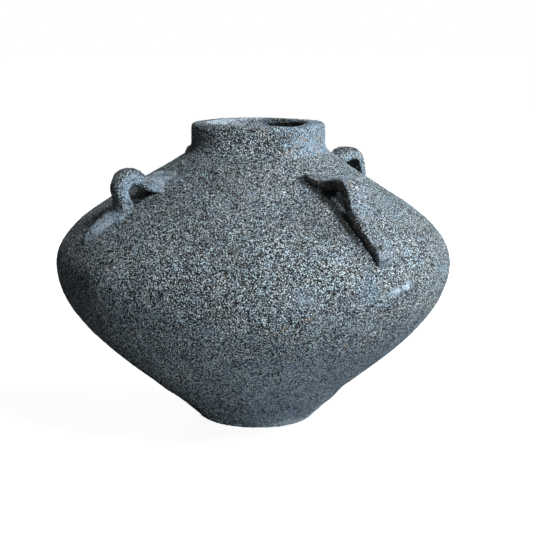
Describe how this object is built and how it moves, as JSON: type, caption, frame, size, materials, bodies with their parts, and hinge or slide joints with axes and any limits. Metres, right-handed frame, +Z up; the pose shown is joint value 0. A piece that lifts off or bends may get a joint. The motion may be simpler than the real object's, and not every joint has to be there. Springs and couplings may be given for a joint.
{
  "type": "vase",
  "caption": "Squat wide-bellied terracotta vase with a dark gritty coat, a short thick collar, strap lugs on its shoulder and a low foot ring.",
  "frame": {"origin": "on the belly's axis at the level the foot ring stands on", "axes": "+Z up out of the mouth; +X towards lug_right, -Y towards lug_front"},
  "size_m": [0.36, 0.36, 0.2735],
  "materials": {
    "gritty_coat": "rough sandy slip, dark grey-blue",
    "worn_coat": "rough sandy slip, worn paler on raised clay",
    "inner_coat": "smoother dull slip"
  },
  "bodies": {
    "root": {"foot_ring": "worn_coat", "floor_disc": "inner_coat", "lower_bowl": "gritty_coat", "shoulder": "gritty_coat", "neck_collar": "gritty_coat", "lug_left": "worn_coat", "lug_front": "worn_coat", "lug_right": "worn_coat", "lug_rear": "worn_coat"}
  },
  "joints": []
}
